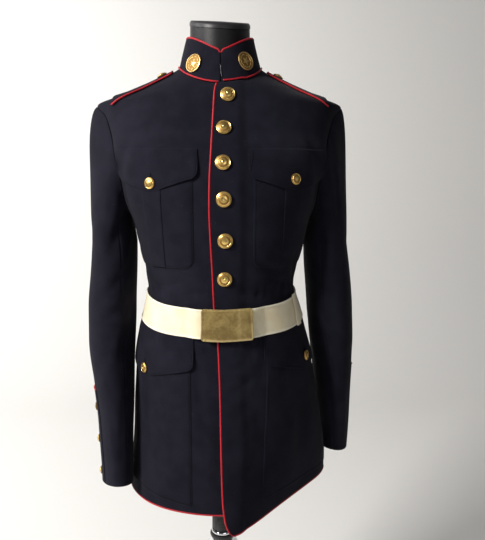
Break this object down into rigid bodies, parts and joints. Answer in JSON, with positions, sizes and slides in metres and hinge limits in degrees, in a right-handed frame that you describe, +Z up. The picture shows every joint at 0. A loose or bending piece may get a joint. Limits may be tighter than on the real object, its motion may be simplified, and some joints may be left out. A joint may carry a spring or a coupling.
{
  "type": "dress uniform coat on a dress form",
  "caption": "Dark navy dress uniform coat with stand collar, red piping, gilt buttons, flap pockets and a cream waist belt, on a limbless black dress form with a post and round base.",
  "frame": {"origin": "centre of the underside of the stand's round base, on the floor", "axes": "+Z up along the post, the coat's front faces -Y, the wearer's left is +X"},
  "size_m": [0.5209, 0.38, 1.5114],
  "materials": {
    "wool_cloth": "dark navy brushed wool, matt with a faint nap",
    "red_piping": "scarlet wool cord",
    "gilt_metal": "gilt, stamped relief, a little worn",
    "brass_plate": "tarnished brass with brown spots and a brighter rim",
    "belt_web": "cream cotton web with firm selvedges",
    "form_jersey": "black jersey with a soft sheen",
    "black_plastic": "black ribbed plastic",
    "chrome": "polished chrome",
    "base_paint": "black satin paint"
  },
  "bodies": {
    "root": {"back_left": "wool_cloth", "back_right": "wool_cloth", "belt": "belt_web", "belt_keeper": "belt_web", "breast_button_left": "gilt_metal", "breast_button_right": "gilt_metal", "breast_flap_left": "wool_cloth", "breast_flap_right": "wool_cloth", "breast_pleat_left": "wool_cloth", "breast_pleat_right": "wool_cloth", "breast_pocket_left": "wool_cloth", "breast_pocket_right": "wool_cloth", "buckle_plate": "brass_plate", "collar": "wool_cloth", "collar_disc_left": "gilt_metal", "collar_disc_right": "gilt_metal", "collar_piping": "red_piping", "cuff_button_left_1": "gilt_metal", "cuff_button_left_2": "gilt_metal", "cuff_button_left_3": "gilt_metal", "cuff_button_right_1": "gilt_metal", "cuff_button_right_2": "gilt_metal", "cuff_button_right_3": "gilt_metal", "cuff_piping_left": "red_piping", "cuff_piping_right": "red_piping", "cuff_slash_left": "wool_cloth", "cuff_slash_right": "wool_cloth", "form_torso": "form_jersey", "front_button_1": "gilt_metal", "front_button_2": "gilt_metal", "front_button_3": "gilt_metal", "front_button_4": "gilt_metal", "front_button_5": "gilt_metal", "front_button_6": "gilt_metal", "front_left": "wool_cloth", "front_piping": "red_piping", "front_right": "wool_cloth", "hem_piping": "red_piping", "neck_piping": "red_piping", "skirt_button_left": "gilt_metal", "skirt_button_right": "gilt_metal", "skirt_flap_left": "wool_cloth", "skirt_flap_right": "wool_cloth", "skirt_pocket_left": "wool_cloth", "skirt_pocket_right": "wool_cloth", "stand_base": "base_paint", "stand_pole": "chrome", "stand_ring": "chrome", "stand_sleeve": "black_plastic", "strap_button_left": "gilt_metal", "strap_button_right": "gilt_metal", "strap_left": "wool_cloth", "strap_piping_left": "red_piping", "strap_piping_right": "red_piping", "strap_right": "wool_cloth", "top_sleeve_left": "wool_cloth", "top_sleeve_right": "wool_cloth", "under_sleeve_left": "wool_cloth", "under_sleeve_right": "wool_cloth"}
  },
  "joints": []
}
